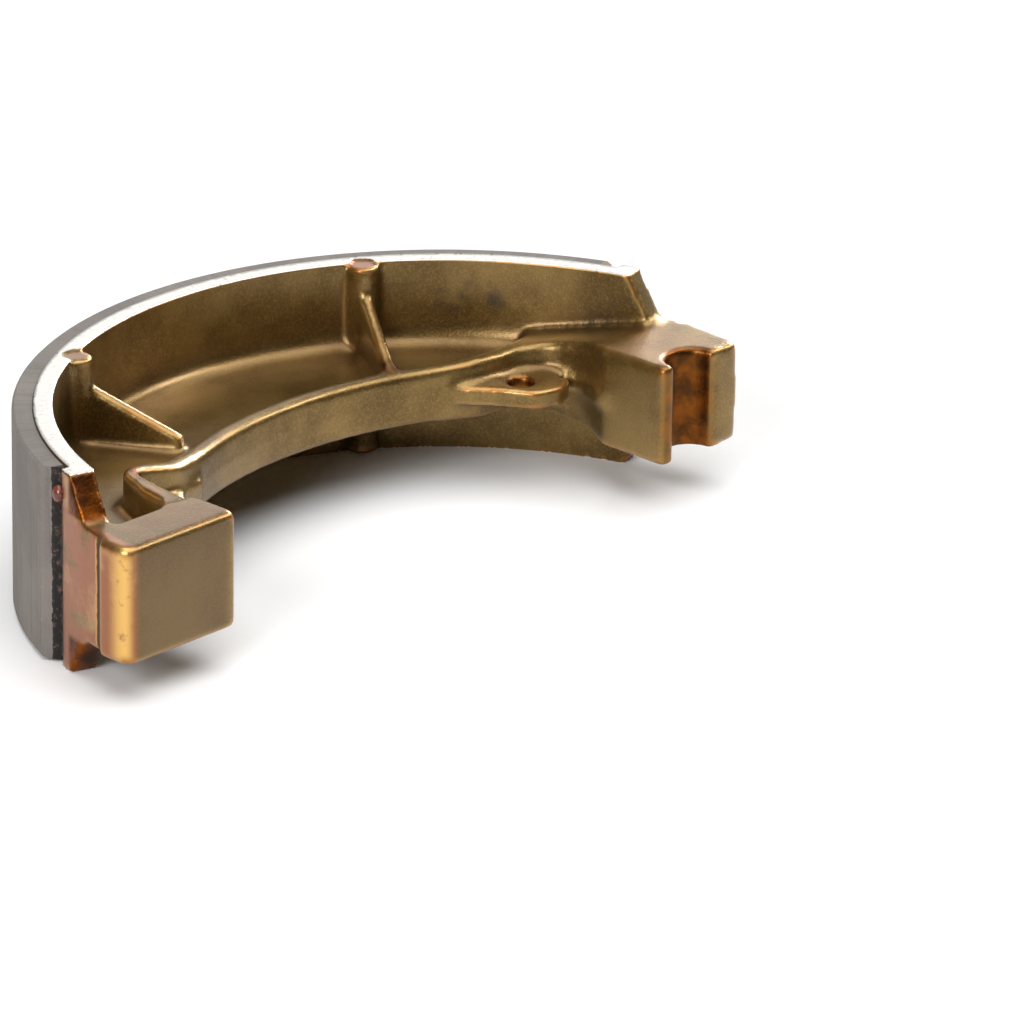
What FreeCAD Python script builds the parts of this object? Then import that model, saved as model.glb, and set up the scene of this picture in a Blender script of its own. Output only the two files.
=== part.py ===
import FreeCAD, Part

import math
import os

from FreeCAD import Vector

# Drum brake shoe: one cast aluminium shoe with a bonded friction lining.
# Lengths are in millimetres and angles in degrees.
# The origin is on the drum axis, in the plane of the casting's lower side.
# +Z runs along the drum axis, +Y points to the middle of the lining, and +X to the pivot end.
# Angles round the drum axis start at +X, so the middle of the lining is at 90 degrees.

# Friction lining
lining_outer_r = 65.0
lining_thickness = 3.0
lining_width = 30.0
lining_half_angle = 68.4
lining_end_bevel = 1.5
lining_end_lean = 25.0
lining_edge_break = 0.4

# Bond between the lining and the casting
bond_thickness = 0.2
bond_bead_height = 0.7

# Platform: the curved wall that carries the lining
platform_thickness = 2.8
platform_side_step = 0.4
platform_half_angle = 72.7
shoulder_height = 1.5
shoulder_gap = 1.0
end_taper_run = 4.2

# Web and lip on the inside of the platform
web_thickness = 3.0
web_cove_r = 3.0
cove_flats = 2
lip_inner_arc_r = 64.2
lip_thickness = 3.4
lip_height = 8.8
lip_cove_r = 2.0
lip_crest_inset = 23.7
lip_crest_x = 2.4
parting_bead_r = 0.35

# Where the lip's arc ends, measured from the inner side of each block
lip_arc_to_cam = 19.4
lip_arc_to_pivot = 17.0

# Rounding of the casting's edges
cast_edge_r = 0.9

# Cam end block and its flat pad
cam_block_height = 18.2
cam_flat_proud = 0.5
cam_flat_length = 6.2
cam_pad_y = 3.4
cam_block_width = 22.2
cam_block_depth = 10.8
cam_hollow = 2.2
cam_hollow_corner_r = 3.0
cam_outer_corner_r = 2.0
cam_inner_corner_r = 1.2

# Pivot end block and its half round seat
pivot_block_height = 16.0
pivot_flat_inset = 0.9
pivot_tip_y = -0.4
pivot_block_width = 17.0
pivot_block_depth = 13.8
pivot_corner_r = 1.2
pivot_edge_break = 0.4
seat_r = 4.1
seat_from_flat = 10.4
seat_mouth_r = 0.7
crease_depth = 0.8
crease_width = 3.4
crease_past_flat = 1.0

# Curled wall at the cam end: outline corners (x, y, radius) seen from above and top line corners
# (x, height, radius), with x from the block's inner side and y from its rim side
curl_outer = ((1.9, 16.0, 6.0), (-2.2, 7.2, 9.0), (-4.4, -2.2, 7.0), (-12.0, -2.2, 0.0), (-12.0, -5.0, 0.0))
curl_inner = ((0.0, -5.0, 0.0), (0.0, -1.0, 3.0), (0.9, 5.6, 6.0), (2.8, 13.7, 3.0))
curl_bend_x = 12.3
curl_bend_r = 8.0
curl_top_below_block = ((-13.0, 0.0, 0.0), (-5.6, 0.0, 6.0), (3.1, 1.6, 12.0))
curl_top_over_lip = ((12.4, 1.1, 12.0), (20.6, 0.0, 8.0))

# Shelf at the pivot end, in the same way from the pivot block
shelf_outer = ((-3.4, 16.9, 3.0), (7.0, 19.0, 0.0), (14.2, 10.0, 0.0), (14.2, -2.0, 0.0))
shelf_inner = ((0.0, -4.0, 0.0), (0.0, -1.4, 4.0), (2.2, 4.2, 5.0), (0.5, 10.2, 5.0), (-3.4, 13.4, 1.6))
shelf_bend_x = -10.6
shelf_bend_r = 8.0
shelf_top_below_block = ((-5.0, 0.0, 0.0), (-0.4, 0.0, 6.0))
shelf_top_over_lip = ((14.0, 0.7, 10.0), (18.0, 0.0, 4.0))
shelf_round_reach = 3.0

# Ears of web inside both walls, and the ledge along the foot of the pivot end's wall
ear_corner = 1.2
cam_ear_edge = ((12.3, 13.0, 3.0), (8.3, 5.1, 5.0), (2.8, -0.6, 3.0))
cam_ear_back = ((-9.5, -3.0, 0.0), (-9.5, 6.0, 0.0), (-0.1, 14.5, 0.0), (12.9, 15.5, 0.0))
pivot_ear_reach = 17.8
pivot_ear_edge = ((-14.2, 13.0, 2.0), (-11.0, 9.2, 4.0), (-8.4, 4.6, 2.2), (-3.6, 3.4, 3.0), (-0.2, 5.3, 1.0))
pivot_ear_back = ((-1.1, 7.8, 3.0), (-2.9, 9.8, 0.0), (-2.4, 14.0, 0.0), (-11.0, 16.0, 0.0))
ledge_edge = ((0.2, -4.0, 0.0), (-0.7, -0.6, 3.0), (1.3, 4.2, 5.0), (-0.4, 9.5, 5.0), (-3.6, 12.7, 1.6))
ledge_back = ((-6.0, 14.6, 0.0), (4.0, 14.6, 0.0), (4.0, -4.0, 0.0))

# Spring holes in the web, each placed like the corners above
spring_hole_d = 4.0
cam_hole_place = (3.9, 5.3)
pivot_hole_place = (-6.5, 9.8)

# Ejector bosses on the platform wall and the ribs that run from them to the lip
boss_d = 5.0
boss_recess = 0.3
boss_angles = (57.6, 116.5)
rib_foot_x = (22.8, -18.3)
rib_stops_short = (0.0, 4.2)
rib_foot_height = (10.8, 8.8)
rib_thickness = 2.4
rib_height_at_boss = 23.8
rib_edge_r = 0.8

# Values that follow from the dimensions above
lining_inner_r = lining_outer_r - lining_thickness
platform_outer_r = lining_inner_r - bond_thickness
platform_inner_r = platform_outer_r - platform_thickness
shoulder_r = platform_outer_r + shoulder_height
casting_width = lining_width + 2 * platform_side_step
mid_z = casting_width / 2
web_top = mid_z + web_thickness / 2
lip_outer_arc_r = lip_inner_arc_r + lip_thickness
lip_axis = Vector(lip_crest_x, platform_inner_r - lip_crest_inset - lip_inner_arc_r, 0)

cam_block_top = mid_z + cam_block_height / 2
cam_flat_x = -(shoulder_r + cam_flat_proud)
cam_inner_x = cam_flat_x + cam_block_width
cam_rim_side_y = cam_pad_y + cam_block_depth
cam_flat_end_y = cam_pad_y + cam_flat_length
cam_hollow_y = cam_rim_side_y - cam_hollow

pivot_block_top = mid_z + pivot_block_height / 2
pivot_flat_x = shoulder_r - pivot_flat_inset
pivot_inner_x = pivot_flat_x - pivot_block_width
pivot_rim_side_y = pivot_tip_y + pivot_block_depth
pivot_flat_end_y = math.sqrt(shoulder_r ** 2 - pivot_flat_x ** 2)
seat_x = pivot_flat_x - seat_from_flat
seat_mouth_x = math.sqrt(seat_r ** 2 - pivot_tip_y ** 2)

# How far a shape that is fused or cut runs into or past its neighbour
overlap = 1.0

# Length below which two points count as one, and how near an edge lies to a plane that holds it
nothing = 1e-6
near = 0.01


def polar(radius, angle, z=0.0):
    """Point at a radius and an angle round the drum axis."""
    a = math.radians(angle)
    return Vector(radius * math.cos(a), radius * math.sin(a), z)


def arc_angle(length, radius):
    """Angle that an arc of this length covers."""
    return math.degrees(length / radius)


def rounded_wire(corners, place):
    """Closed outline through corners (a, b, radius), where place turns (a, b) into a point."""
    count = len(corners)
    points = [place(a, b) for a, b, radius in corners]
    edges = []
    first = None
    last = None
    for i in range(count):
        corner = points[i]
        radius = corners[i][2]
        back = (points[i - 1] - corner).normalize()
        ahead = (points[(i + 1) % count] - corner).normalize()
        entry = corner
        leave = corner
        if radius > 0:
            half = back.getAngle(ahead) / 2
            reach = radius / math.tan(half)
            entry = corner + back * reach
            leave = corner + ahead * reach
            centre = corner + (back + ahead).normalize() * (radius / math.sin(half))
            middle = centre + (corner - centre).normalize() * radius
        if last is not None and (entry - last).Length > nothing:
            edges.append(Part.LineSegment(last, entry).toShape())
        if radius > 0:
            edges.append(Part.Arc(entry, middle, leave).toShape())
        if first is None:
            first = entry
        last = leave
    edges.append(Part.LineSegment(last, first).toShape())
    return Part.Wire(edges)


def plan_prism(corners, bottom, top):
    """Upright prism on an outline seen from above."""
    wire = rounded_wire(corners, lambda x, y: Vector(x, y, bottom))
    return Part.Face(wire).extrude(Vector(0, 0, top - bottom))


def ring_sector(profile, axis_point, start, end):
    """Turn a closed (radius, z) wire about an upright axis between two angles."""
    face = Part.Face(profile)
    face.translate(axis_point)
    face.rotate(axis_point, Vector(0, 0, 1), start)
    return face.revolve(axis_point, Vector(0, 0, 1), end - start)


def section(corners):
    """Closed wire of (radius, z, corner radius) points in the plane that a ring is turned from."""
    return rounded_wire(corners, lambda r, z: Vector(r, 0, z))


def box_section(inner, outer, bottom, top, corner=0.0):
    """Rectangular section with equal corner radii."""
    return section([
        (inner, bottom, corner), (outer, bottom, corner), (outer, top, corner), (inner, top, corner),
    ])


def underside(shape):
    """Mirror image of a shape below the middle plane of the casting."""
    return shape.mirror(Vector(0, 0, mid_z), Vector(0, 0, 1))


def both_sides(shape):
    """A shape of the upper side together with its mirror image."""
    return [shape, underside(shape)]


def placed(corners, x, y):
    """Outline corners moved from a block's inner side and rim side to their place."""
    return [(x + along, y + out, radius) for along, out, radius in corners]


def edges_where(shape, test):
    """Edges whose middle point passes the test."""
    chosen = []
    for edge in shape.Edges:
        middle = edge.valueAt((edge.FirstParameter + edge.LastParameter) / 2)
        if test(middle):
            chosen.append(edge)
    return chosen


def lip_angle(x, radius):
    """Angle round the lip's own axis at which an arc of this radius passes x."""
    return math.degrees(math.acos((x - lip_axis.x) / radius))


def lip_y(x, radius):
    """Height in Y of an arc about the lip's axis at x."""
    return lip_axis.y + math.sqrt(radius ** 2 - (x - lip_axis.x) ** 2)


def lip_corner(radius, end_angle):
    """Outline corner whose rounding is the lip's arc from its crest to an angle round its axis."""
    half = (end_angle - 90) / 2
    corner = lip_axis + polar(radius / math.cos(math.radians(half)), 90 + half)
    return (corner.x, corner.y, radius)


def lip_run_out(radius, end_angle, x, corner_r):
    """Outline corner at x on the straight stretch that leaves the lip's arc at an angle."""
    leave = lip_axis + polar(radius, end_angle)
    along = polar(1, end_angle + 90)
    return (x, leave.y + (x - leave.x) * along.y / along.x, corner_r)


def lip_crest(radius):
    """Outline point on the lip's crest."""
    return (lip_axis.x, lip_axis.y + radius, 0)


def end_relief(full_width_angle, direction, block_top):
    """Cutter that narrows the platform from full width to a block's height beyond an angle."""
    along = polar(1, full_width_angle + 90 * direction)
    outward = polar(1, full_width_angle)
    start = polar(platform_inner_r - 2 * platform_thickness, full_width_angle)
    rise = casting_width - block_top
    slope = end_taper_run / rise
    reach = 4 * end_taper_run

    def place(run, z):
        return start + along * run + Vector(0, 0, z)

    outline = rounded_wire([
        (-overlap * slope, casting_width + overlap, 0),
        (end_taper_run, block_top, 0),
        (reach, block_top, 0),
        (reach, casting_width + overlap, 0),
    ], place)
    return Part.Face(outline).extrude(outward * (4 * platform_thickness + shoulder_height))


def platform():
    """Curved wall with the lining's bed, a shoulder past each end of it and narrowed ends."""
    foot_angle = lining_foot_angle() + arc_angle(shoulder_gap, platform_outer_r)
    pivot_end = math.degrees(math.asin((pivot_flat_end_y - overlap) / shoulder_r))
    cam_end = 180 - math.degrees(math.asin((cam_flat_end_y - overlap) / shoulder_r))
    ring = ring_sector(box_section(platform_inner_r, shoulder_r, 0, casting_width),
                       Vector(0, 0, 0), pivot_end, cam_end)
    bed = ring_sector(box_section(platform_outer_r, shoulder_r + overlap, -overlap, casting_width + overlap),
                      Vector(0, 0, 0), 90 - foot_angle, 90 + foot_angle)
    beyond_flat = Part.makeBox(shoulder_height * 4, pivot_flat_end_y, casting_width,
                               Vector(pivot_flat_x, 0, 0))
    cutters = [bed, beyond_flat]
    cutters += both_sides(end_relief(90 - platform_half_angle, -1, pivot_block_top))
    cutters += both_sides(end_relief(90 + platform_half_angle, 1, cam_block_top))
    return ring.cut(cutters)


def web():
    """Thin plate between the platform and the lip, at the middle of the casting's width."""
    bottom = mid_z - web_thickness / 2
    disc = Part.makeCylinder(platform_inner_r + overlap, web_thickness, Vector(0, 0, bottom))
    hollow_r = lip_inner_arc_r + lip_thickness / 2
    hollow = Part.makeCylinder(hollow_r, web_thickness, Vector(lip_axis.x, lip_axis.y, bottom))
    floor = min(cam_hollow_y, pivot_rim_side_y) - overlap
    field = Part.makeBox(2 * lining_outer_r, lining_outer_r, web_thickness,
                         Vector(-lining_outer_r, floor, bottom))
    plates = disc.common(field).cut(hollow)
    return plates.fuse([cam_ear(), pivot_ear()])


def cam_ear():
    """Web inside the curled wall at the cam end."""
    root_x = cam_inner_x + lip_arc_to_cam
    tip_x = root_x - ear_corner
    outline = [
        (root_x, lip_y(root_x, lip_inner_arc_r) + overlap, 0),
        (tip_x, lip_y(tip_x, lip_inner_arc_r) - ear_corner, ear_corner),
    ]
    outline += placed(cam_ear_edge + cam_ear_back, cam_inner_x, cam_rim_side_y)
    return plan_prism(outline, mid_z - web_thickness / 2, web_top)


def pivot_ear():
    """Tongue of web inside the pivot end's wall."""
    root_x = pivot_inner_x - pivot_ear_reach
    outline = [(root_x, lip_y(root_x, lip_inner_arc_r) + overlap, 0)]
    outline += placed(pivot_ear_edge + pivot_ear_back, pivot_inner_x, pivot_rim_side_y)
    return plan_prism(outline, mid_z - web_thickness / 2, web_top)


def web_coves():
    """Round inner corners where the web meets the platform and the lip."""
    rim = cove_section(platform_inner_r, web_cove_r, -1)
    lip = cove_section(lip_outer_arc_r, lip_cove_r, 1)
    rim_cove = ring_sector(rim, Vector(0, 0, 0), 90 - platform_half_angle, 90 + platform_half_angle)
    lip_cove = ring_sector(lip, lip_axis, *lip_range())
    return both_sides(rim_cove) + both_sides(lip_cove)


def cove_section(wall_r, radius, side):
    """Section of a hollow corner between the web and a wall, side -1 inside the wall."""
    inside = wall_r - side * radius / 2
    corners = [(inside, mid_z, 0), (inside, web_top + radius, 0)]
    for i in range(cove_flats + 1):
        turn = math.radians(90 * i / cove_flats)
        reach = radius * (1 - math.cos(turn))
        height = radius * (1 - math.sin(turn))
        corners.append((wall_r + side * reach, web_top + height, 0))
    corners.append((wall_r + side * radius, mid_z, 0))
    return section(corners)


def lip_range():
    """Angles round the lip's axis at which its arc ends, at the pivot end and at the cam end."""
    start = lip_angle(pivot_inner_x - lip_arc_to_pivot, lip_outer_arc_r)
    end = lip_angle(cam_inner_x + lip_arc_to_cam, lip_outer_arc_r)
    return start, end


def parting_bead():
    """Fine ridge that the mould's parting leaves round the inner face of the lip."""
    bead = section([
        (lip_inner_arc_r - parting_bead_r, mid_z, 0),
        (lip_inner_arc_r + overlap, mid_z - parting_bead_r - overlap, 0),
        (lip_inner_arc_r + overlap, mid_z + parting_bead_r + overlap, 0),
    ])
    return ring_sector(bead, lip_axis, *lip_range())


def falling_top(from_block, over_lip, block_rise, end):
    """Top line of a wall as (run, height over the middle, radius), from a block down to the lip."""
    lip_rise = lip_height / 2
    line = [(run, block_rise - fall, radius) for run, fall, radius in from_block]
    line += [(run, lip_rise + rise, radius) for run, rise, radius in over_lip]
    return line + [(end, lip_rise, 0)]


def height_band(line, place, push):
    """Band between a top line and its mirror image below the middle plane."""
    upper = [(run, mid_z + rise, radius) for run, rise, radius in line]
    lower = [(run, mid_z - rise, radius) for run, rise, radius in reversed(line)]
    outline = rounded_wire(upper + lower, place)
    return Part.Face(outline).extrude(push)


def wall_rims(wall, test):
    """Edges round the top and the bottom of a wall that pass a test."""
    lip_rise = lip_height / 2
    return edges_where(wall, lambda p: abs(p.z - mid_z) > lip_rise - near and test(p))


def cam_curl():
    """Cam half of the lip, which rises, curls round the spring pocket and comes back to the block."""
    x = cam_inner_x
    y = cam_rim_side_y
    leave = lip_range()[1]
    outline = [
        lip_crest(lip_outer_arc_r),
        lip_corner(lip_outer_arc_r, leave),
        lip_run_out(lip_outer_arc_r, leave, x + curl_bend_x, curl_bend_r),
    ]
    outline += placed(curl_outer + curl_inner, x, y)
    outline += [
        lip_run_out(lip_inner_arc_r, leave, x + curl_bend_x, curl_bend_r),
        lip_corner(lip_inner_arc_r, leave),
        lip_crest(lip_inner_arc_r),
    ]
    wall = plan_prism(outline, mid_z - cam_block_height / 2, cam_block_top)
    from_block = [(x + run, fall, radius) for run, fall, radius in curl_top_below_block]
    over_lip = [(x + run, rise, radius) for run, rise, radius in curl_top_over_lip]
    line = falling_top(from_block, over_lip, cam_block_height / 2, lip_crest_x + overlap)
    band = height_band(line, lambda run, z: Vector(run, 0, z), Vector(0, lining_outer_r, 0))
    wall = wall.common(band)
    foot_y = y + curl_inner[0][1]
    rims = wall_rims(wall, lambda p: p.y > foot_y + near and p.x < lip_crest_x - nothing)
    return wall.makeFillet(cast_edge_r, rims)


def pivot_shelf():
    """Pivot half of the lip, widening into the shelf that slopes up from it to the block."""
    x = pivot_inner_x
    y = pivot_rim_side_y
    leave = lip_range()[0]
    outline = [
        lip_crest(lip_outer_arc_r),
        lip_corner(lip_outer_arc_r, leave),
        lip_run_out(lip_outer_arc_r, leave, x + shelf_bend_x, shelf_bend_r),
    ]
    outline += placed(shelf_outer + shelf_inner, x, y)
    outline += [
        lip_run_out(lip_inner_arc_r, leave, x + shelf_bend_x, shelf_bend_r),
        lip_corner(lip_inner_arc_r, leave),
        lip_crest(lip_inner_arc_r),
    ]
    shelf = plan_prism(outline, mid_z - pivot_block_height / 2, pivot_block_top)
    from_block = [(y + run, fall, radius) for run, fall, radius in shelf_top_below_block]
    over_lip = [(y + run, rise, radius) for run, rise, radius in shelf_top_over_lip]
    line = falling_top(from_block, over_lip, pivot_block_height / 2, lining_outer_r)
    band = height_band(line, lambda run, z: Vector(0, run, z), Vector(lining_outer_r, 0, 0))
    shelf = shelf.common(band)
    rims = wall_rims(shelf, lambda p: lip_crest_x + nothing < p.x < x + shelf_round_reach)
    shelf = shelf.makeFillet(cast_edge_r, rims)
    inside_rim = Part.makeCylinder(platform_inner_r + overlap, casting_width)
    return shelf.common(inside_rim)


def pocket_ledge():
    """Narrow ledge of web along the foot of the pivot end's wall."""
    outline = placed(ledge_edge + ledge_back, pivot_inner_x, pivot_rim_side_y)
    return plan_prism(outline, mid_z - web_thickness / 2, web_top)


def cam_block():
    """Block at the cam end with its flat pad, which the brake cam pushes on."""
    foot_x = math.sqrt(platform_inner_r ** 2 - cam_hollow_y ** 2)
    outline = [
        (cam_flat_x, cam_pad_y, cam_outer_corner_r),
        (cam_inner_x, cam_pad_y, cam_inner_corner_r),
        (cam_inner_x, cam_hollow_y, 0),
        (-foot_x, cam_hollow_y, cam_hollow_corner_r),
        (-platform_inner_r, cam_hollow_y + 2 * cam_hollow_corner_r, 0),
        (-shoulder_r + overlap, cam_flat_end_y, 0),
        (cam_flat_x, cam_flat_end_y, 0),
    ]
    rise = cam_block_height / 2
    block = plan_prism(outline, mid_z - rise, cam_block_top)
    rims = edges_where(block, lambda p: abs(abs(p.z - mid_z) - rise) < near
                       and (p.y < cam_flat_end_y + near or abs(p.x - cam_inner_x) < near))
    return block.makeFillet(cast_edge_r, rims)


def pivot_block():
    """Block at the pivot end with the half round seat for the pivot pin."""
    outline = [
        (pivot_inner_x, pivot_tip_y, pivot_corner_r),
        (pivot_flat_x, pivot_tip_y, pivot_corner_r),
        (pivot_flat_x, pivot_flat_end_y, 0),
        (platform_inner_r, pivot_rim_side_y + overlap, 0),
        (pivot_inner_x, pivot_rim_side_y - overlap, 0),
    ]
    rise = pivot_block_height / 2
    block = plan_prism(outline, mid_z - rise, pivot_block_top)
    seat = Part.makeCylinder(seat_r, casting_width, Vector(seat_x, 0, 0))
    block = block.cut(seat)
    mouth = edges_where(block, lambda p: abs(p.z - mid_z) < near
                        and abs(abs(p.x - seat_x) - seat_mouth_x) < near
                        and abs(p.y - pivot_tip_y) < near)
    block = block.makeFillet(seat_mouth_r, mouth)
    rims = edges_where(block, lambda p: abs(abs(p.z - mid_z) - rise) < near
                       and (p.y < seat_r - near or abs(p.x - pivot_flat_x) < near
                            or abs(p.x - pivot_inner_x) < near))
    return block.makeChamfer(pivot_edge_break, rims)


def crease():
    """Narrow valley in the outer side where the pivot block meets the platform's end."""
    y = pivot_flat_end_y + crease_past_flat
    outline = [
        (pivot_flat_x + overlap, y - crease_width / 2 - overlap, 0),
        (pivot_flat_x - crease_depth, y, 0),
        (pivot_flat_x + overlap, y + crease_width / 2 + overlap, 0),
    ]
    return plan_prism(outline, web_top, casting_width)


def rib(boss_angle, foot_x, stops_short, foot_height):
    """Rib from an ejector boss towards the lip, lower at its foot."""
    start = polar(platform_inner_r, boss_angle)
    foot = Vector(foot_x, lip_y(foot_x, lip_outer_arc_r) + stops_short, 0)
    along = foot - start
    length = along.Length
    along.normalize()
    across = Vector(-along.y, along.x, 0)

    def place(run, z):
        return start + along * run - across * (rib_thickness / 2) + Vector(0, 0, z)

    high = rib_height_at_boss / 2
    low = foot_height / 2
    slope = (high - low) / length
    reach = length + overlap
    end = low - slope * overlap
    outline = rounded_wire([
        (0, mid_z - high, 0), (0, mid_z + high, 0), (reach, mid_z + end, 0), (reach, mid_z - end, 0),
    ], place)
    body = Part.Face(outline).extrude(across * rib_thickness)
    middle = start + along * (reach / 2)
    long_edges = edges_where(body, lambda p: abs(abs(p.z - mid_z) - (high + end) / 2) < 0.1
                             and Vector(p.x - middle.x, p.y - middle.y, 0).Length < rib_thickness)
    return body.makeFillet(rib_edge_r, long_edges)


def boss(angle):
    """Round ejector boss on the inner side of the platform."""
    centre = polar(platform_inner_r, angle, boss_recess)
    post = Part.makeCylinder(boss_d / 2, casting_width - 2 * boss_recess, centre)
    return post.common(Part.makeCylinder(platform_inner_r + overlap, casting_width))


def boss_mark(angle):
    """Round mark that the ejector left in the platform's edge above a boss."""
    centre = polar(platform_inner_r, angle, casting_width - boss_recess)
    return Part.makeCylinder(boss_d / 2, boss_recess + overlap, centre)


def spring_holes():
    """Holes for the hooks of the two return springs."""
    places = [
        Vector(cam_inner_x + cam_hole_place[0], cam_rim_side_y + cam_hole_place[1], 0),
        Vector(pivot_inner_x + pivot_hole_place[0], pivot_rim_side_y + pivot_hole_place[1], 0),
    ]
    return [Part.makeCylinder(spring_hole_d / 2, casting_width, place) for place in places]


def shoe_casting():
    """The whole casting as one solid."""
    pieces = [web(), cam_block(), pivot_block(), cam_curl(), pivot_shelf(), pocket_ledge()]
    pieces += web_coves() + [parting_bead()]
    for angle, foot_x, short, height in zip(boss_angles, rib_foot_x, rib_stops_short, rib_foot_height):
        pieces += [rib(angle, foot_x, short, height), boss(angle)]
    solid = platform().fuse(pieces)
    cutters = spring_holes() + both_sides(crease())
    for angle in boss_angles:
        cutters += both_sides(boss_mark(angle))
    seat = Part.makeCylinder(seat_r, casting_width, Vector(seat_x, 0, 0))
    return solid.cut(cutters + [seat]).removeSplitter()


def lining_foot_angle():
    """Half angle to the foot of the lining's end face."""
    face_height = lining_thickness - lining_end_bevel
    run = face_height * math.tan(math.radians(lining_end_lean))
    return lining_half_angle + arc_angle(run, lining_inner_r)


def friction_lining():
    """Curved friction lining with broken side edges and bevelled ends."""
    foot_angle = lining_foot_angle()
    bottom = platform_side_step
    top = bottom + lining_width
    cut = lining_edge_break
    profile = section([
        (lining_inner_r, bottom, 0),
        (lining_outer_r - cut, bottom, 0),
        (lining_outer_r, bottom + cut, 0),
        (lining_outer_r, top - cut, 0),
        (lining_outer_r - cut, top, 0),
        (lining_inner_r, top, 0),
    ])
    ring = ring_sector(profile, Vector(0, 0, 0), 90 - foot_angle, 90 + foot_angle)
    return ring.cut([lining_end_cutter(-1), lining_end_cutter(1)])


def lining_end_cutter(direction):
    """Wedge that leaves the leaning end face and the bevel above it."""
    corner_angle = 90 + direction * lining_half_angle
    outward = polar(1, corner_angle)
    along = polar(1, corner_angle + 90 * direction)
    corner = polar(lining_outer_r - lining_end_bevel, corner_angle, -overlap)
    face_height = lining_thickness - lining_end_bevel
    lean = math.tan(math.radians(lining_end_lean))

    def place(run, rise):
        return corner + along * run + outward * rise

    outline = rounded_wire([
        (lean * (face_height + overlap), -face_height - overlap, 0),
        (0, 0, 0),
        (-2 * lining_end_bevel, 2 * lining_end_bevel, 0),
        (2 * lining_thickness, 2 * lining_end_bevel, 0),
        (2 * lining_thickness, -face_height - overlap, 0),
    ], place)
    return Part.Face(outline).extrude(Vector(0, 0, casting_width + 2 * overlap))


def bond_film():
    """Film of cured adhesive under the lining, with a bead in the gap at each end."""
    foot_angle = lining_foot_angle()
    shoulder_angle = foot_angle + arc_angle(shoulder_gap, platform_outer_r)
    bottom = platform_side_step
    top = bottom + lining_width
    film = ring_sector(box_section(platform_outer_r, lining_inner_r, bottom, top),
                       Vector(0, 0, 0), 90 - shoulder_angle, 90 + shoulder_angle)
    bead_r = platform_outer_r + bond_bead_height
    bead_section = box_section(platform_outer_r, bead_r, bottom, top)
    beads = [
        ring_sector(bead_section, Vector(0, 0, 0), 90 - shoulder_angle, 90 - foot_angle),
        ring_sector(bead_section, Vector(0, 0, 0), 90 + foot_angle, 90 + shoulder_angle),
    ]
    return film.fuse(beads).removeSplitter()


os.makedirs("parts", exist_ok=True)
nodes = {
    "shoe_casting": shoe_casting(),
    "friction_lining": friction_lining(),
    "bond_film": bond_film(),
}
for name, shape in nodes.items():
    shape.exportStep("parts/" + name + ".step")
    print(name, "valid", shape.isValid(), "solids", len(shape.Solids), "volume", round(shape.Volume, 1))
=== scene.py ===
# %% [markdown]
# This file dresses a drum brake shoe. The real one is an aluminium casting under olive gold varnish,
# with a ground friction lining glued to its round outer face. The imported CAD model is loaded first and
# stays as the fixed frame, so that every piece made here is in metres and already in its place.

import math

import bmesh
import bpy
import numpy as np
from mathutils import Matrix, Vector


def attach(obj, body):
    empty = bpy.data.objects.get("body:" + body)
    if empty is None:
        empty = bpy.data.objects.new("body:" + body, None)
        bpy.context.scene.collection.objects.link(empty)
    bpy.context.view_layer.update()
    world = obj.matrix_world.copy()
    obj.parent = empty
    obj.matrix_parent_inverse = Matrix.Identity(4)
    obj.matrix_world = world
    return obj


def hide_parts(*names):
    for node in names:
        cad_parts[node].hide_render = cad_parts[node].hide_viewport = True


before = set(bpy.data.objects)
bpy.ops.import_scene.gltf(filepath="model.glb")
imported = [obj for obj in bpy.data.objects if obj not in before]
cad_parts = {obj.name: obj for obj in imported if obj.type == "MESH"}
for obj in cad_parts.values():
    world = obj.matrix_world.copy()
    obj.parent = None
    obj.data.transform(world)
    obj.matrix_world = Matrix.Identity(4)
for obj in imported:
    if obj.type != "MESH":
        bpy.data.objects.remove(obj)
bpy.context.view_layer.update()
scene = bpy.context.scene

# %% [markdown]
# A few sizes of the real shoe are needed more than once: the radii of its curved wall and lining, the
# height of its middle plane, and where its ends, lip, seat and spring hole are. They are written once
# here, in metres and degrees, and the patterns further down are laid out from them.

# %% Sizes that the patterns share
side_z = 0.0308
middle_z = side_z / 2
wall_inner_r = 0.059
wall_outer_r = 0.0618
lining_r = 0.065
lining_foot_angle = 69.1
lining_low_z = 0.0004
lining_high_z = 0.0304
lip_centre = (0.0024, -0.0289)
lip_middle_r = 0.0659
boss_angles = (57.6, 116.5)
cam_block_rise = 0.0091
cam_side_x = -0.0621
cam_step_y = 0.0112
seat_centre = (0.052, 0.0)
seat_r = 0.0041
spring_hole = (0.0389, 0.0232)
print("wall radii", wall_inner_r, wall_outer_r, "lining radius", lining_r)

# %% [markdown]
# The photograph was taken with a long lens from above the cam end. The camera is placed with a full
# matrix instead of angles, because the small roll of the picture then needs no second rotation. The lens
# and the sensor width together give the narrow field of view.


# %% Camera
def look_matrix(place, forward, roll):
    """Camera matrix at a place, looking along a direction, with the picture rolled by an angle."""
    ahead = Vector(forward).normalized()
    level = ahead.cross(Vector((0, 0, 1))).normalized()
    upright = level.cross(ahead)
    right = level * math.cos(roll) + upright * math.sin(roll)
    up = upright * math.cos(roll) - level * math.sin(roll)
    turn = Matrix((right, up, -ahead)).transposed()
    return Matrix.Translation(Vector(place)) @ turn.to_4x4()


camera_data = bpy.data.cameras.new("photo_camera")
camera_data.lens = 298.83
camera_data.sensor_width = 36.0
camera_data.clip_end = 20.0
camera = bpy.data.objects.new("photo_camera", camera_data)
camera_place = (-0.84194, -0.79679, 0.48759)
camera_ahead = (0.67690, 0.63122, -0.37862)
camera_roll = 0.01549
camera.matrix_world = look_matrix(camera_place, camera_ahead, camera_roll)
scene.collection.objects.link(camera)
scene.camera = camera
print("camera lens", camera_data.lens)

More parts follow.
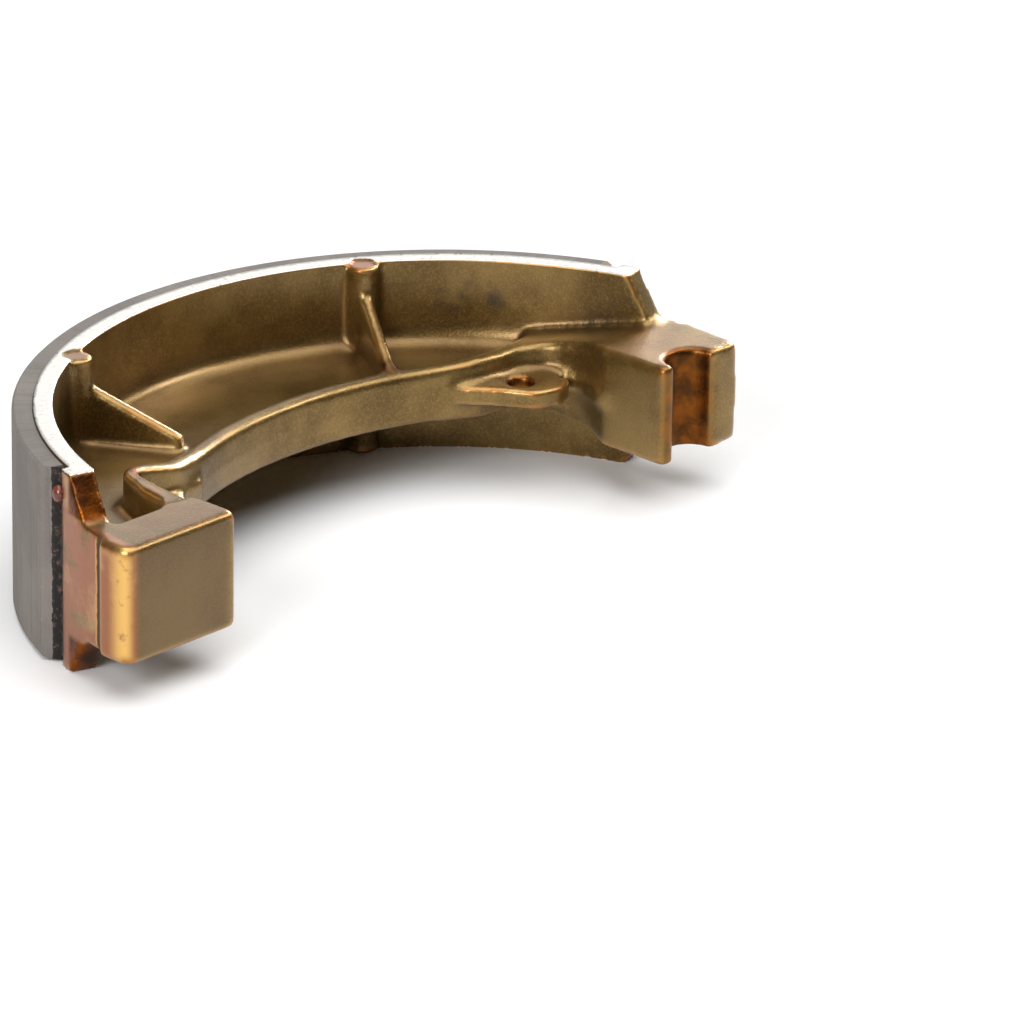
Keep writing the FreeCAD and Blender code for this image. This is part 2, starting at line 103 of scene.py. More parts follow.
# %% [markdown]
# Product photographs of small parts are taken on a white sweep, a sheet that runs out of the picture on
# all sides. A curved backdrop would give the same look from the front only, so a wide flat floor is used
# here, which is pale from every side. It lies a hair under the shoe, so that the two don't share a plane.


# %% Floor
def principled(name, base, roughness, metallic=0.0):
    """New material with one Principled shader, and its nodes, links and shader."""
    material = bpy.data.materials.new(name)
    material.use_nodes = True
    shader = material.node_tree.nodes["Principled BSDF"]
    shader.inputs["Base Color"].default_value = (*base, 1.0)
    shader.inputs["Roughness"].default_value = roughness
    shader.inputs["Metallic"].default_value = metallic
    return material, material.node_tree.nodes, material.node_tree.links, shader


floor_reach = 3.0
floor_drop = 0.00002
corners = [(-floor_reach, -floor_reach, 0), (floor_reach, -floor_reach, 0),
           (floor_reach, floor_reach, 0), (-floor_reach, floor_reach, 0)]
floor_mesh = bpy.data.meshes.new("floor")
floor_mesh.from_pydata(corners, [], [(0, 1, 2, 3)])
floor = bpy.data.objects.new("floor", floor_mesh)
floor.location.z = -floor_drop
scene.collection.objects.link(floor)
floor_paint = principled("white_sweep", (0.9, 0.9, 0.9), 0.75)[0]
floor_mesh.materials.append(floor_paint)
print("floor reach", floor_reach)

# %% [markdown]
# The main light comes from above through a large diffuser. A sun with a wide disc does that evenly over
# the whole floor, and its shadows are soft. The casting is shiny, so it mostly shows what it mirrors.
# Three boxes behind and beside the shoe draw the bright lines on its rounded lip and inner corners. They
# are hidden from matt surfaces, because low light would fill the shadow under the arch. One box on the
# left is seen by all surfaces, and lights the lining and the cam end.


# %% Light
def soft_box(name, place, target, width, height, power):
    """Rectangular area light at a place that faces a target."""
    data = bpy.data.lights.new(name, "AREA")
    data.shape = "RECTANGLE"
    data.size = width
    data.size_y = height
    data.energy = power
    box = bpy.data.objects.new(name, data)
    box.location = place
    box.rotation_euler = (Vector(target) - Vector(place)).to_track_quat("-Z", "Y").to_euler()
    scene.collection.objects.link(box)
    return box


diffuser_data = bpy.data.lights.new("overhead_diffuser", "SUN")
diffuser_data.energy = 3.0
diffuser_data.angle = math.radians(70.0)
diffuser = bpy.data.objects.new("overhead_diffuser", diffuser_data)
diffuser.rotation_euler = Vector((0.05, -0.16, 0.98)).to_track_quat("Z", "Y").to_euler()
scene.collection.objects.link(diffuser)
shoe_middle = (0.0, 0.03, 0.01)
gloss_boxes = (
    soft_box("right_box", (0.8, 0.2, 0.34), shoe_middle, 0.5, 0.2, 6.5),
    soft_box("crest_box", (0.6, -0.32, 0.56), shoe_middle, 0.24, 0.24, 2.7),
    soft_box("back_box", (0.62, 0.6, 0.36), shoe_middle, 0.8, 0.42, 1.8),
)
for box in gloss_boxes:
    box.visible_diffuse = False
soft_box("left_box", (-0.85, -0.2, 0.5), shoe_middle, 0.5, 0.4, 6.5)

world = bpy.data.worlds.new("white_room")
scene.world = world
world.use_nodes = True
sky = world.node_tree.nodes["Background"]
sky.inputs["Color"].default_value = (1.0, 1.0, 1.0, 1.0)
sky.inputs["Strength"].default_value = 0.035
scene.view_settings.view_transform = "Standard"

# %% [markdown]
# The casting's surface is worked on as a dense mesh. A modifier smooths all of a mesh alike, but here
# edges, inner corners and flat faces each need their own amount. So the positions go into arrays, where
# one line changes them all, and these helpers move them between mesh and array.


# %% Helpers for dense meshes
def link_piece(name, mesh):
    """New object that holds a mesh."""
    piece = bpy.data.objects.new(name, mesh)
    scene.collection.objects.link(piece)
    return piece


def baked(piece):
    """Turn a piece with modifiers into a plain mesh."""
    bpy.context.view_layer.update()
    graph = bpy.context.evaluated_depsgraph_get()
    mesh = bpy.data.meshes.new_from_object(piece.evaluated_get(graph))
    piece.modifiers.clear()
    piece.data = mesh
    return piece


def welded_copy(node, name):
    """Copy of a CAD node's mesh with its loose triangles joined."""
    mesh = node.data.copy()
    work = bmesh.new()
    work.from_mesh(mesh)
    bmesh.ops.remove_doubles(work, verts=work.verts, dist=1e-6)
    work.to_mesh(mesh)
    work.free()
    mesh.materials.clear()
    return link_piece(name, mesh)


def places_of(mesh):
    """Vertex positions as an array."""
    flat = np.zeros(len(mesh.vertices) * 3, np.float32)
    mesh.vertices.foreach_get("co", flat)
    return flat.reshape(-1, 3).astype(float)


def normals_of(mesh):
    """Vertex normals as an array."""
    flat = np.zeros(len(mesh.vertices) * 3, np.float32)
    mesh.vertices.foreach_get("normal", flat)
    return flat.reshape(-1, 3).astype(float)


def set_places(mesh, places):
    """Write vertex positions back to a mesh."""
    mesh.vertices.foreach_set("co", places.astype(np.float32).ravel())
    mesh.update()


def neighbour_mean(edges, values):
    """Mean of each vertex's neighbours, column by column."""
    count = len(values)
    a, b = edges[:, 0], edges[:, 1]
    links_per_vertex = np.bincount(a, minlength=count) + np.bincount(b, minlength=count)
    columns = []
    for column in values.T:
        total = np.bincount(a, weights=column[b], minlength=count)
        total += np.bincount(b, weights=column[a], minlength=count)
        columns.append(total / np.maximum(links_per_vertex, 1))
    return np.stack(columns, 1)


def relaxed(edges, values, rounds):
    """Values after a number of rounds of half way smoothing."""
    for _ in range(rounds):
        values = values * 0.5 + neighbour_mean(edges, values) * 0.5
    return values


def add_field(mesh, name, values):
    """Store one number per vertex as a named attribute."""
    field = mesh.attributes.new(name, "FLOAT", "POINT")
    field.data.foreach_set("value", np.clip(values, 0.0, 1.0).astype(np.float32))


def ramp(values, low, high):
    """Smooth step from 0 at low to 1 at high."""
    t = np.clip((values - low) / (high - low), 0.0, 1.0)
    return t * t * (3 - 2 * t)


def gap_to(places, centre):
    """Distance of places from a line along z through a centre."""
    return np.hypot(places[:, 0] - centre[0], places[:, 1] - centre[1])


def shade_smooth(mesh):
    """Let a mesh shade as one smooth surface."""
    for polygon in mesh.polygons:
        polygon.use_smooth = True


print("helpers for dense meshes are ready")

# %% [markdown]
# The CAD solid has sharp inner corners where ribs, bosses and walls meet. Molten metal never fills or
# leaves such a corner sharp. Fillets on every corner would be slow and could fail where three meet. So
# the casting gets a skin: a copy of the CAD mesh is remeshed into small even faces, and then smoothed a
# little on outer edges and more in inner corners.

# %% Casting skin: even faces
voxel = 0.00052
casting_skin = welded_copy(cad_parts["shoe_casting"], "casting_skin")
remesh = casting_skin.modifiers.new("even_faces", "REMESH")
remesh.mode = "VOXEL"
remesh.voxel_size = voxel
remesh.adaptivity = 0.0
baked(casting_skin)
skin = casting_skin.data
skin_edges = np.zeros(len(skin.edges) * 2, np.int32)
skin.edges.foreach_get("vertices", skin_edges)
skin_edges = skin_edges.reshape(-1, 2)
raw = places_of(skin)
print("casting skin vertices", len(skin.vertices), "faces", len(skin.polygons))

# %% [markdown]
# Each vertex has a lightly and a heavily smoothed place. The light one keeps the form. Where the heavy
# one lies further out, the vertex is in an inner corner, and is moved out to it as metal fills a fillet.
# The lip's crest and the shelf behind the pivot block are rounder on the real shoe, and get more rounds.

# %% Casting skin: fillets and round edges
light_rounds = 4
heavy_rounds = 18
lip_rounds = 8
shelf_rounds = 16
most_fill = 0.0009
light = relaxed(skin_edges, raw, light_rounds)
heavy = relaxed(skin_edges, light, heavy_rounds - light_rounds)
lip_r = gap_to(raw, lip_centre)
raw_rise = np.abs(raw[:, 2] - middle_z)
round_lip = 1.0 - ramp(np.abs(lip_r - lip_middle_r), 0.002, 0.0035)
round_lip *= ramp(raw_rise, 0.002, 0.003) * ramp(raw[:, 0], -0.033, -0.028)
light = light + (relaxed(skin_edges, light, lip_rounds) - light) * round_lip[:, None]
shelf_back = ramp(raw[:, 0], 0.022, 0.028) * ramp(raw[:, 1], 0.017, 0.02) * ramp(lip_r, 0.0665, 0.068)
shelf_back *= ramp(raw_rise, 0.0016, 0.003)
shelf_back *= 1.0 - ramp(np.hypot(raw[:, 0], raw[:, 1]), 0.0572, 0.0582)
light = light + (relaxed(skin_edges, light, shelf_rounds) - light) * shelf_back[:, None]
outward = normals_of(skin)
fill = np.clip(((heavy - light) * outward).sum(1), 0.0, most_fill)
soft = light + outward * fill[:, None]
print("mean fill in mm", round(float(fill.mean()) * 1000, 4))

# %% [markdown]
# The two flat side faces of the wall were machined after casting, so they are flat and their edges are
# sharp. There the skin goes back to the CAD places. Voxels also leave tiny steps along a curved wall,
# which a low light would show, so the wall's arcs are put back on their radii, except near the bosses.

# %% Casting skin: machined faces and true arcs
snap_reach = 0.0003
boss_reach = 3.2
side_gap = np.minimum(raw[:, 2], side_z - raw[:, 2])
keep = 1.0 - ramp(side_gap, 0.0004, 0.0014)[:, None]
soft = soft * (1 - keep) + raw * keep
on_top = raw[:, 2] > side_z - voxel * 0.45
on_floor = raw[:, 2] < voxel * 0.45
soft[on_top, 2] = side_z
soft[on_floor, 2] = 0.0

soft_r = np.hypot(soft[:, 0], soft[:, 1])
soft_angle = np.degrees(np.arctan2(soft[:, 1], soft[:, 0]))
from_top = np.abs(soft_angle - 90)
at_outer = (np.abs(soft_r - wall_outer_r) < snap_reach) & (from_top < 70)
at_inner = (np.abs(soft_r - wall_inner_r) < snap_reach) & (from_top < 72) & (side_gap < 0.0016)
for boss_angle in boss_angles:
    at_inner &= np.abs(soft_angle - boss_angle) > boss_reach
for at, arc_r in ((at_outer, wall_outer_r), (at_inner, wall_inner_r)):
    soft[at, :2] *= (arc_r / soft_r[at])[:, None]
set_places(skin, soft)
print("vertices put back on the arcs", int(at_outer.sum()), int(at_inner.sum()))

# %% [markdown]
# Varnish is thin on outer edges and collects in inner corners, and the hollow mark also darkens the inner
# corners and pockets as painted shade. A pointiness node would find those while rendering, but only here
# can the reach of each mark be set, and an attribute goes with the mesh. A spot that stands out from its
# lightly smoothed surroundings is an edge. One that lies below its widely smoothed surroundings is a
# hollow. In a ramp, the two numbers say where a mark starts and is full.

# %% Marks: edges and hollows
outward = normals_of(skin)
spread = relaxed(skin_edges, soft, 6)
stand_out = ((soft - spread) * outward).sum(1)
broad = relaxed(skin_edges, soft, 40)
depth = ((broad - soft) * outward).sum(1)
x, y, z = soft.T
radius = np.hypot(x, y)
angle = np.degrees(np.arctan2(y, x))
rise = np.abs(z - middle_z)
edge_and_ear_highlight_mark = ramp(stand_out, *np.percentile(stand_out, (88.0, 98.0)))
deep = ramp(depth, *np.percentile(depth, (70.0, 97.0)))
# The hollow mark is partly pooled varnish and partly painted shade in inner corners and pockets.
hollow_pool_and_shade_mark = relaxed(skin_edges, deep[:, None], 4)[:, 0]
top_facing = ramp(outward[:, 2] * np.sign(z - middle_z), 0.75, 0.97)
# Painted highlight: the flat top face of the spring ear is brightened through the edge mark.
ear_shine = top_facing * (1.0 - ramp(np.abs(z - 0.0169), 0.0001, 0.0003))
ear_shine *= (np.abs(x + 0.032) < 0.012) * (lip_r < 0.0638)
edge_and_ear_highlight_mark = np.maximum(edge_and_ear_highlight_mark, ear_shine)
add_field(skin, "edge_and_ear_highlight", edge_and_ear_highlight_mark)
add_field(skin, "hollow_pool_and_shade", hollow_pool_and_shade_mark)
print("mean edge and hollow", round(float(edge_and_ear_highlight_mark.mean()), 3), round(float(hollow_pool_and_shade_mark.mean()), 3))

# %% [markdown]
# Red brown varnish ran together in a few known places: on the sloped ends of the wall, in the pivot
# seat, at the feet of the ribs, round the spring hole and in the curl. No rule finds these, so each is a
# soft spot at a place read from the photograph.

# %% Marks: red varnish runs
rib_feet = ((0.0228, 0.0356), (-0.0183, 0.0372))
curl_tip = (-0.0385, 0.029)
seat_floor_x = 0.0468
cam_end = ramp(angle, 159.0, 161.0)
slope_run = cam_end * ramp(rise, cam_block_rise, cam_block_rise + 0.0007) * ramp(angle, 162.0, 163.0)
seat_run = 1.0 - ramp(gap_to(soft, seat_centre), seat_r + 0.0003, seat_r + 0.0012)
seat_run *= ramp(y, -0.0006, 0.0008)
seat_wall_run = 1.0 - ramp(np.abs(x - seat_floor_x), 0.0006, 0.0016)
seat_wall_run *= 1.0 - ramp(y, 0.001, 0.003)
rib_foot_run = sum(1.0 - ramp(gap_to(soft, foot), 0.0008, 0.003) for foot in rib_feet)
rib_foot_run *= ramp(rise, 0.0035, 0.0045)
hole_run = 1.0 - ramp(gap_to(soft, spring_hole), 0.0018, 0.0032)
curl_run = (1.0 - ramp(gap_to(soft, curl_tip), 0.0012, 0.0028)) * ramp(rise, 0.004, 0.006)
red_mark = np.maximum.reduce([slope_run, seat_run * 0.9, seat_wall_run * 0.6, rib_foot_run * 0.7,
                              hole_run * 0.8, curl_run])
add_field(skin, "red_run", red_mark)
print("mean red", round(float(red_mark.mean()), 3))

# %% [markdown]
# The rest of the coat isn't even either. It is mauve on the shoulder at the cam end and on flat tops. A
# bright gold band on the rounded corner beside the cam pad is a painted highlight, and the pad face is
# darkened with painted shade. Two dark smudges lie on the inner face of the wall. They are placed round the
# wall by angle and height.

# %% Marks: mauve, painted highlight, painted shade and smudged areas
shoulder_run = cam_end * ramp(radius, wall_outer_r - 0.0004, wall_outer_r + 0.0004)
boss_top = ramp(rise, 0.0146, 0.0149) * (1.0 - ramp(rise, 0.0152, 0.0153)) * top_facing
flat_top = ramp(rise, 0.0068, 0.0078) * (1.0 - ramp(radius, 0.0585, 0.0595)) * top_facing
pad_side = ramp(-x, -cam_side_x, 0.0628) * ramp(y, 0.0055, 0.008)
mauve_mark = np.maximum.reduce([shoulder_run, pad_side * 0.7, flat_top * 0.2, boss_top * 0.8])
# Painted highlight: a bright gold band on the rounded corner beside the cam pad.
gold_highlight_mark = ramp(-x, -cam_side_x, 0.0634) * (1.0 - ramp(y, 0.0046, 0.0078))
# Painted shade: the cam pad face is darkened.
pad_shade_mark = ramp(-x, 0.0425, 0.0445) * (1.0 - ramp(-x, 0.0612, 0.0624))
pad_shade_mark *= (1.0 - ramp(y, 0.0035, 0.0039)) * (1.0 - ramp(rise, 0.0076, 0.0088))
smudge_spots = ((41.0, 0.0246, 0.0072, 0.0031), (22.0, 0.0232, 0.0052, 0.0021))
around = np.radians(angle) * wall_inner_r
smudge_mark = np.zeros(len(x))
for at, height, wide, tall in smudge_spots:
    gap = np.hypot((around - math.radians(at) * wall_inner_r) / wide, (z - height) / tall)
    smudge_mark = np.maximum(smudge_mark, 1.0 - ramp(gap, 0.2, 1.3))
smudge_mark *= 1.0 - ramp(np.abs(radius - wall_inner_r), 0.0003, 0.001)
area_marks = {"mauve": mauve_mark, "shoulder": shoulder_run, "gold_highlight": gold_highlight_mark, "pad_shade": pad_shade_mark,
              "smudge": smudge_mark}
for mark_name, mark in area_marks.items():
    add_field(skin, mark_name, mark)
print("mean marks", {name: round(float(mark.mean()), 4) for name, mark in area_marks.items()})

# %% [markdown]
# Shader trees are built from a few kinds of node again and again. These helpers make one node each and
# give back its output, so that a material reads almost like a sum.


# %% Helpers for shader nodes
def new_group(name, numbers, outputs):
    """Shader node group with a Place input, number inputs (name, value) and value outputs."""
    tree = bpy.data.node_groups.new(name, "ShaderNodeTree")
    tree.interface.new_socket("Place", in_out="INPUT", socket_type="NodeSocketVector")
    for label, value in numbers:
        socket = tree.interface.new_socket(label, in_out="INPUT", socket_type="NodeSocketFloat")
        socket.default_value = value
    for label in outputs:
        tree.interface.new_socket(label, in_out="OUTPUT", socket_type="NodeSocketFloat")
    entry = tree.nodes.new("NodeGroupInput")
    leave = tree.nodes.new("NodeGroupOutput")
    return tree, entry, leave


def plug(tree, value, socket):
    """Set a socket from a number, or link another socket to it."""
    if isinstance(value, (int, float)):
        socket.default_value = value
    else:
        tree.links.new(value, socket)


def math_node(tree, operation, first, second=0.0):
    """Math node on sockets or numbers, and its output."""
    node = tree.nodes.new("ShaderNodeMath")
    node.operation = operation
    plug(tree, first, node.inputs[0])
    plug(tree, second, node.inputs[1])
    return node.outputs[0]


def times(tree, first, second):
    """Product of two sockets or numbers."""
    return math_node(tree, "MULTIPLY", first, second)


def plus(tree, first, second):
    """Sum of two sockets or numbers."""
    return math_node(tree, "ADD", first, second)


def minus(tree, first, second):
    """Difference of two sockets or numbers."""
    return math_node(tree, "SUBTRACT", first, second)


def noise_node(tree, place, scale, detail=2.0, roughness=0.5):
    """Noise texture that reads a place, and its value output."""
    node = tree.nodes.new("ShaderNodeTexNoise")
    tree.links.new(place, node.inputs["Vector"])
    plug(tree, scale, node.inputs["Scale"])
    node.inputs["Detail"].default_value = detail
    node.inputs["Roughness"].default_value = roughness
    return node.outputs["Fac"]


def step_node(tree, value, low, high):
    """Smooth step of a value between two numbers."""
    node = tree.nodes.new("ShaderNodeMapRange")
    node.interpolation_type = "SMOOTHSTEP"
    node.clamp = True
    tree.links.new(value, node.inputs["Value"])
    plug(tree, low, node.inputs["From Min"])
    plug(tree, high, node.inputs["From Max"])
    return node.outputs["Result"]


print("helpers for shader nodes are ready")

# %% [markdown]
# Several finishes share two effects. One is fine grain, from the sand or blast that the surface met. The
# other is a patchy mask with ragged borders, for stains and rubbed spots. Copied nodes would drift apart
# from each other, so each effect is a node group with its own inputs, built once and placed in every
# material that needs it.

# %% Shared node groups
grain_group, grain_in, grain_out = new_group(
    "cast_grain", [("Grain per metre", 2600.0)], ["Height", "Speck"])
grain_scale = grain_in.outputs["Grain per metre"]
fine = noise_node(grain_group, grain_in.outputs["Place"], grain_scale, 3.0, 0.6)
wide_scale = times(grain_group, grain_scale, 0.23)
wide = noise_node(grain_group, grain_in.outputs["Place"], wide_scale, 3.0, 0.55)
both = plus(grain_group, times(grain_group, fine, 0.6), times(grain_group, wide, 0.4))
grain_group.links.new(both, grain_out.inputs["Height"])
grain_group.links.new(step_node(grain_group, fine, 0.42, 0.72), grain_out.inputs["Speck"])

patch_group, patch_in, patch_out = new_group(
    "ragged_patch", [("Patches per metre", 120.0), ("Amount", 0.5), ("Softness", 0.1)], ["Mask"])
patch_scale = patch_in.outputs["Patches per metre"]
base_noise = noise_node(patch_group, patch_in.outputs["Place"], patch_scale, 6.0, 0.6)
flip = minus(patch_group, 1.0, patch_in.outputs["Amount"])
upper = plus(patch_group, flip, patch_in.outputs["Softness"])
patch_group.links.new(step_node(patch_group, base_noise, flip, upper), patch_out.inputs["Mask"])
print("groups", grain_group.name, patch_group.name)

# %% [markdown]
# A painted finish is built as it is on the real thing, one layer over another. Each layer needs a mask,
# which says where it lies, and a tone. The last helper here lays one such layer over what is below it.


# %% Helpers for materials
def object_place(tree):
    """Object coordinates of the piece."""
    return tree.nodes.new("ShaderNodeTexCoord").outputs["Object"]


def use_group(tree, group, place, **values):
    """Node of a shared group at a place, with its number inputs set."""
    node = tree.nodes.new("ShaderNodeGroup")
    node.node_tree = group
    tree.links.new(place, node.inputs["Place"])
    for label, value in values.items():
        node.inputs[label.replace("_", " ")].default_value = value
    return node


def field_node(tree, name):
    """Value of a named attribute of the mesh."""
    node = tree.nodes.new("ShaderNodeAttribute")
    node.attribute_name = name
    return node.outputs["Fac"]


def blend_node(tree, factor, first, second):
    """Mix of two colours, each a socket or three numbers."""
    node = tree.nodes.new("ShaderNodeMix")
    node.data_type = "RGBA"
    tree.links.new(factor, node.inputs[0])
    for index, value in ((6, first), (7, second)):
        if isinstance(value, tuple):
            node.inputs[index].default_value = (*value, 1.0)
        else:
            tree.links.new(value, node.inputs[index])
    return node.outputs[2]


def laid_over(tree, below, mask, strength, tone):
    """Colour with a tone laid over it where a mask is, as strong as given."""
    return blend_node(tree, times(tree, mask, strength), below, tone)


def broken_field(tree, place, name, per_metre, amount, softness):
    """Value of a named attribute, broken up by ragged patches."""
    patches = use_group(tree, patch_group, place, Patches_per_metre=per_metre, Amount=amount,
                        Softness=softness)
    return times(tree, field_node(tree, name), patches.outputs["Mask"])


def lift_node(tree, height, strength, distance):
    """Bump node on a height, and its normal output."""
    node = tree.nodes.new("ShaderNodeBump")
    node.inputs["Strength"].default_value = strength
    node.inputs["Distance"].default_value = distance
    tree.links.new(height, node.inputs["Height"])
    return node.outputs["Normal"]


print("helpers for materials are ready")

# %% [markdown]
# The casting is dipped in an olive gold varnish. The coat varies slowly in tone, shows the grain of the
# casting as pale flecks, and is darker in the hollows, where it lies thick and where painted shade darkens
# the corners and pockets as well. Two noises of very different size give the slow tone and the grain, and
# the hollows come from the mark on the mesh.

# %% Varnish: the olive gold coat
thick_olive = (0.13, 0.075, 0.017)
thin_olive = (0.25, 0.155, 0.046)
pale_fleck = (0.4, 0.265, 0.09)
pooled_and_shaded_olive = (0.11, 0.055, 0.014)
varnish, nodes, links, shader = principled("varnished_casting", (0.22, 0.15, 0.065), 0.35, 0.85)
shader.inputs["Coat Roughness"].default_value = 0.24
tree = varnish.node_tree
place = object_place(tree)
grain = use_group(tree, grain_group, place, Grain_per_metre=2600.0)
slow = noise_node(tree, place, 70.0, 4.0, 0.6)
colour = blend_node(tree, step_node(tree, slow, 0.35, 0.65), thick_olive, thin_olive)
colour = laid_over(tree, colour, grain.outputs["Speck"], 0.35, pale_fleck)
# Pooled varnish and painted shade: the hollow mark darkens inner corners and pockets.
colour = laid_over(tree, colour, field_node(tree, "hollow_pool_and_shade"), 0.7, pooled_and_shaded_olive)
print("coat nodes", len(nodes))

# %% [markdown]
# Over the coat lie the marks that were measured on the skin. Each mark is broken up by ragged patches of
# its own size, because a stain with an even border looks drawn. The runs of red varnish are dark where
# they are thick and orange where they are thin, so they mix two tones.

# %% Varnish: stains, rubbed edges and runs
mauve_stain = (0.32, 0.11, 0.05)
pale_marble = (0.55, 0.32, 0.14)
pad_shade_olive = (0.13, 0.08, 0.036)
painted_gold_highlight = (0.74, 0.43, 0.12)
rubbed_gold_and_ear_highlight = (0.5, 0.31, 0.1)
burnt_orange = (0.34, 0.12, 0.018)
thick_red, thin_red = (0.05, 0.009, 0.001), (0.22, 0.055, 0.003)
soot = (0.05, 0.042, 0.034)
colour = laid_over(tree, colour, broken_field(tree, place, "mauve", 120.0, 0.66, 0.12), 0.85, mauve_stain)
colour = laid_over(tree, colour, broken_field(tree, place, "shoulder", 95.0, 0.52, 0.16), 0.6, pale_marble)
# Painted shade on the cam pad face.
colour = laid_over(tree, colour, field_node(tree, "pad_shade"), 0.7, pad_shade_olive)
# Painted highlight on the rounded corner beside the cam pad.
colour = laid_over(tree, colour, broken_field(tree, place, "gold_highlight", 420.0, 0.74, 0.2), 1.0, painted_gold_highlight)
# The edge mark carries thin varnish on outer edges and a painted highlight on the spring ear's top face.
colour = laid_over(tree, colour, field_node(tree, "edge_and_ear_highlight"), 0.65, rubbed_gold_and_ear_highlight)
colour = laid_over(tree, colour, broken_field(tree, place, "edge_and_ear_highlight", 260.0, 0.6, 0.2), 0.85, burnt_orange)
red = broken_field(tree, place, "red_run", 150.0, 0.85, 0.25)
run_thinness = step_node(tree, noise_node(tree, place, 260.0, 3.0, 0.6), 0.36, 0.66)
colour = laid_over(tree, colour, red, 0.93, blend_node(tree, run_thinness, thick_red, thin_red))
colour = laid_over(tree, colour, broken_field(tree, place, "smudge", 320.0, 0.6, 0.3), 0.9, soot)
print("nodes with stains and runs", len(nodes))

# %% [markdown]
# At the cam end the shoulder steps down to the cam pad's side, and a dark crack in the varnish runs down
# that step, with a bright edge beside it. It is a line at one height in Y. A little noise added to Y
# before the comparison makes it wander, which is less work than a drawn curve and never repeats.

# %% Varnish: the crack at the cam end
crack_dark = (0.022, 0.01, 0.005)
crack_edge = (0.6, 0.32, 0.09)
parts = nodes.new("ShaderNodeSeparateXYZ")
links.new(place, parts.inputs[0])
wobble = times(tree, noise_node(tree, place, 300.0, 4.0, 0.7), 0.0013)
wandering_y = plus(tree, parts.outputs["Y"], wobble)
from_step = math_node(tree, "ABSOLUTE", minus(tree, wandering_y, cam_step_y))
at_step = math_node(tree, "LESS_THAN", parts.outputs["X"], cam_side_x - 0.0001)
crack = times(tree, minus(tree, 1.0, step_node(tree, from_step, 0.0005, 0.0008)), at_step)
beside_crack = times(tree, minus(tree, 1.0, step_node(tree, from_step, 0.0008, 0.0013)), at_step)
colour = laid_over(tree, colour, beside_crack, 0.7, crack_edge)
colour = laid_over(tree, colour, crack, 0.9, crack_dark)
print("crack at y", cam_step_y)

# %% [markdown]
# The side faces of the wall were machined through the coat to bare metal. Their mask reads the height in
# Object coordinates, so that its border is as crisp as the cut. The cutter left short marks across the
# wall. A pattern in plain X and Y would cross the wall at a slant somewhere, so the marks are laid out by
# angle and radius.

# %% Varnish: bare side faces
bare_metal = (0.72, 0.69, 0.65)
cutter_mark = (0.42, 0.37, 0.31)
face_margin = 0.00006
off_middle = math_node(tree, "ABSOLUTE", minus(tree, parts.outputs["Z"], middle_z))
bare = math_node(tree, "GREATER_THAN", off_middle, middle_z - face_margin)
turn = math_node(tree, "ARCTAN2", parts.outputs["Y"], parts.outputs["X"])
flat_place = nodes.new("ShaderNodeCombineXYZ")
links.new(parts.outputs["X"], flat_place.inputs["X"])
links.new(parts.outputs["Y"], flat_place.inputs["Y"])
span = nodes.new("ShaderNodeVectorMath")
span.operation = "LENGTH"
links.new(flat_place.outputs[0], span.inputs[0])
across = nodes.new("ShaderNodeCombineXYZ")
links.new(times(tree, turn, wall_outer_r), across.inputs["X"])
links.new(times(tree, span.outputs["Value"], 0.4), across.inputs["Y"])
ticks = use_group(tree, patch_group, across.outputs[0], Patches_per_metre=1500.0, Amount=0.45,
                  Softness=0.16)
marked_metal = blend_node(tree, times(tree, ticks.outputs["Mask"], 0.75), bare_metal, cutter_mark)
colour = blend_node(tree, bare, colour, marked_metal)
links.new(colour, shader.inputs["Base Color"])
print("nodes with bare faces", len(nodes))

# %% [markdown]
# Gloss follows the layers too. The coat is smooth over metal, so it is metallic with a thin clear layer.
# The grain makes it a little rougher, the crack has no gloss, the thick red runs mirror without the clear
# layer, and the bare faces are half matt. Bump carries the grain and sinks the crack.

# %% Varnish: gloss and relief
coat_gloss = 0.3
base_roughness = 0.24
coat_metal = 0.84
no_gloss = math_node(tree, "MAXIMUM", red, crack)
links.new(times(tree, coat_gloss, minus(tree, 1.0, no_gloss)), shader.inputs["Coat Weight"])
rough = plus(tree, base_roughness, times(tree, crack, 0.6))
rough = plus(tree, rough, times(tree, grain.outputs["Height"], 0.22))
links.new(rough, shader.inputs["Roughness"])
metal = minus(tree, plus(tree, coat_metal, times(tree, red, 0.14)), times(tree, crack, 0.8))
links.new(minus(tree, metal, times(tree, bare, 0.5)), shader.inputs["Metallic"])
relief = minus(tree, grain.outputs["Height"], times(tree, crack, 0.8))
links.new(lift_node(tree, relief, 0.35, 0.0002), shader.inputs["Normal"])
skin.materials.append(varnish)
shade_smooth(skin)
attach(casting_skin, "root")
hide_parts("shoe_casting")
print("varnish nodes", len(nodes))

# %% [markdown]
# The lining is a pressed friction compound, ground round on its outer face. Its shape in the CAD model is
# right, so the CAD piece stays and only gets a finish. Grinding leaves fine lines along the drum axis.
# They follow the angle round the axis, so the material works that angle out from Object coordinates, and
# squeezes the height, which stretches a noise into lines.

# %% Lining: ground compound
dark_compound = (0.15, 0.132, 0.117)
light_compound = (0.205, 0.18, 0.16)
line_dark = (0.075, 0.068, 0.062)
grit_light = (0.24, 0.22, 0.2)
pit_dark = (0.03, 0.026, 0.022)
ground, nodes, links, shader = principled("ground_lining", (0.16, 0.145, 0.13), 0.85)
tree = ground.node_tree
place = object_place(tree)
parts = nodes.new("ShaderNodeSeparateXYZ")
links.new(place, parts.inputs[0])
turn = math_node(tree, "ARCTAN2", parts.outputs["Y"], parts.outputs["X"])
axial = nodes.new("ShaderNodeCombineXYZ")
links.new(times(tree, turn, lining_r), axial.inputs["X"])
links.new(times(tree, parts.outputs["Z"], 0.03), axial.inputs["Y"])
lines = noise_node(tree, axial.outputs[0], 1500.0, 2.0, 0.6)
wide_lines = noise_node(tree, axial.outputs[0], 420.0, 2.0, 0.5)
